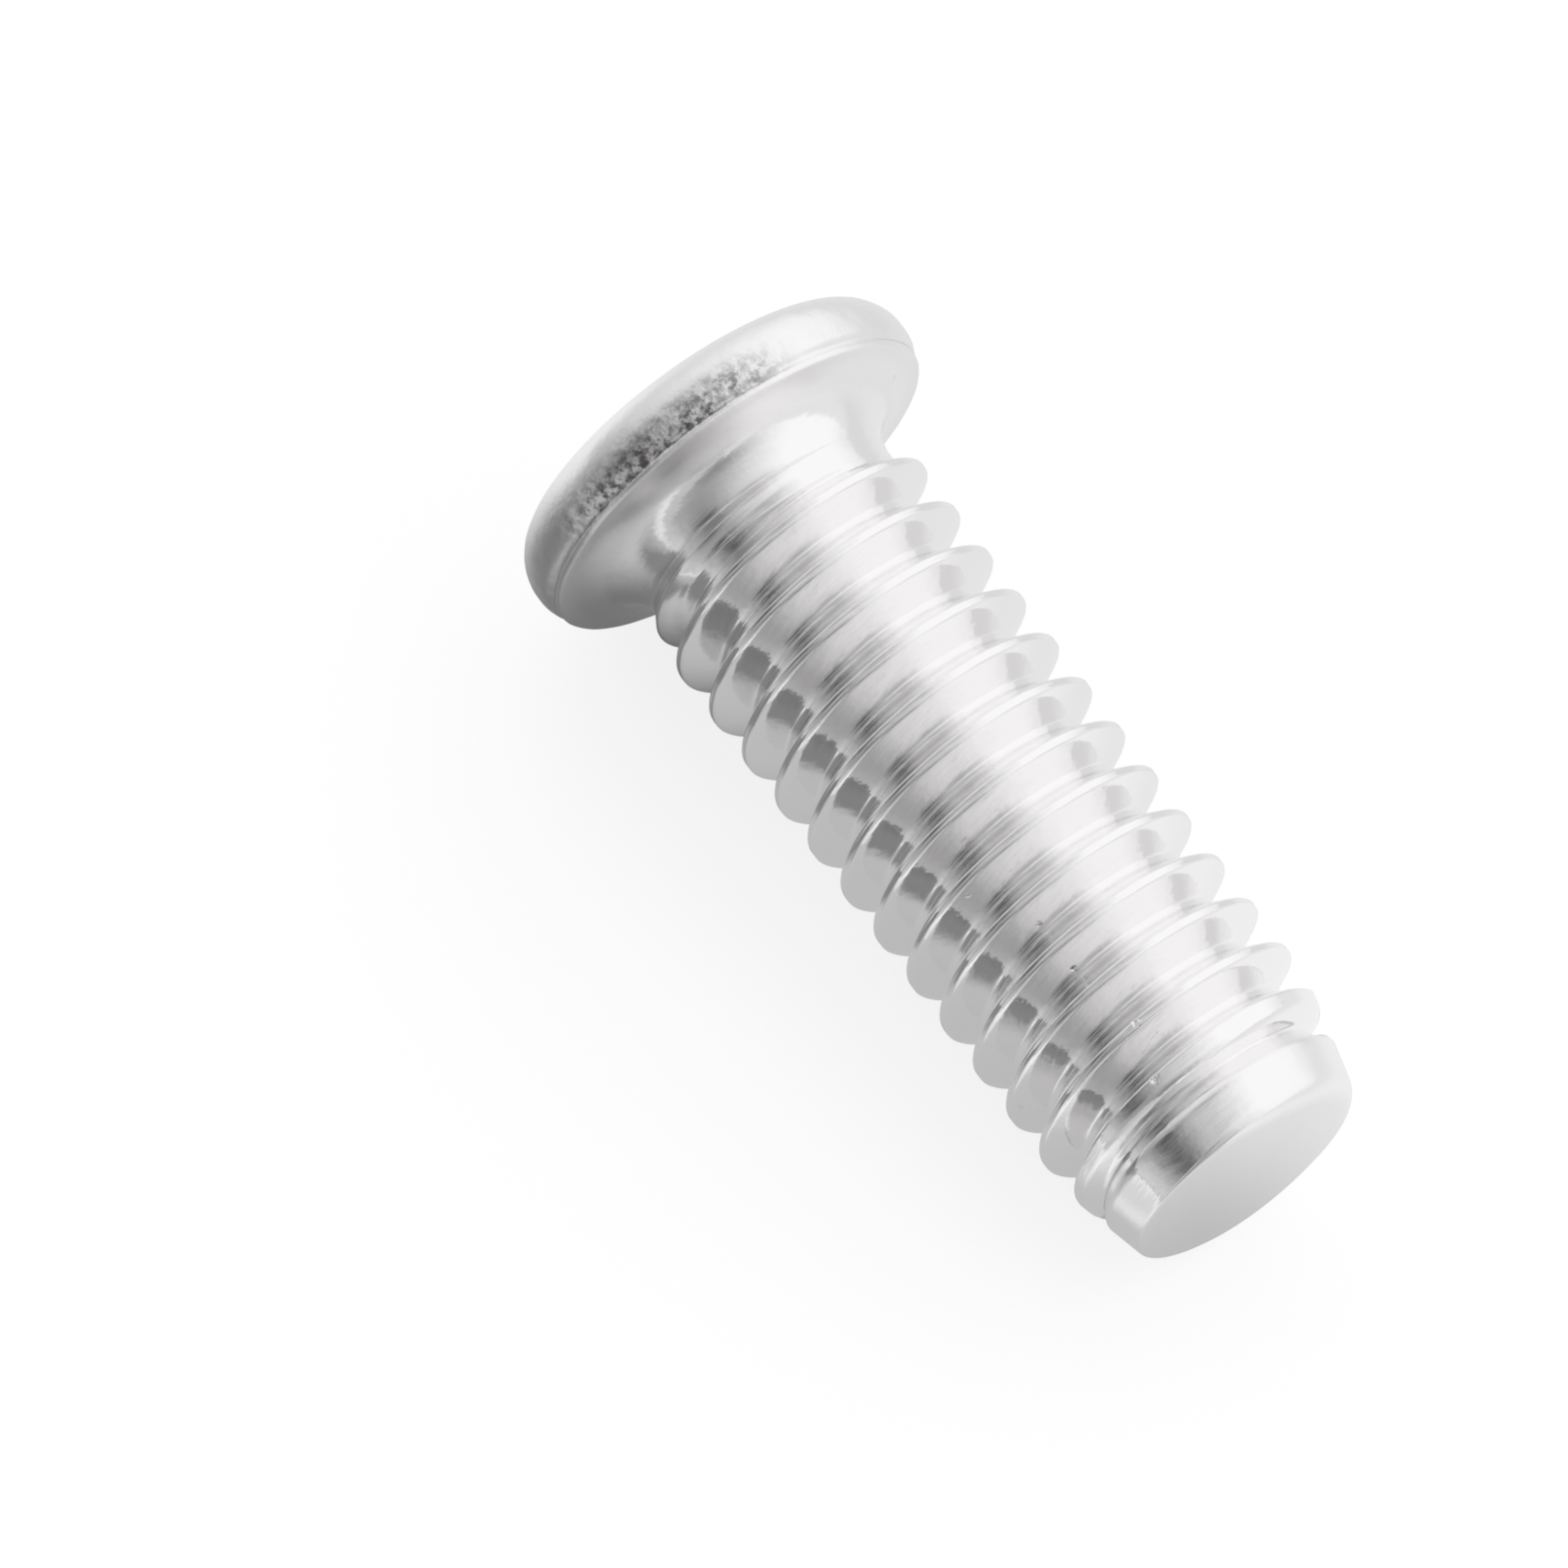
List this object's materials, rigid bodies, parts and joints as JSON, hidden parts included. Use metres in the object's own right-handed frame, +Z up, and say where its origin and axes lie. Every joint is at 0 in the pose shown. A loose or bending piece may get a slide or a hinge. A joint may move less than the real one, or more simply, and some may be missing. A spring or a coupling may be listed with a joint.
{
  "type": "weld stud",
  "caption": "Threaded weld stud with a round flange, a short neck, a rolled metric thread, a chamfered end and a small ignition tip.",
  "frame": {"origin": "centre of the bounding box, on the table that the stud lies on", "axes": "+X along the stud towards its thread end, +Z up. The stud's own axis dips 4.8 degrees below +X towards the thread end, because it lies on its flange rim and its last full crest."},
  "size_m": [0.0126, 0.0056, 0.0056],
  "materials": {
    "bright_metal": "bright rolled thread, satin ends, frosted flange rim"
  },
  "bodies": {
    "root": {"weld_stud": "bright_metal"}
  },
  "joints": []
}
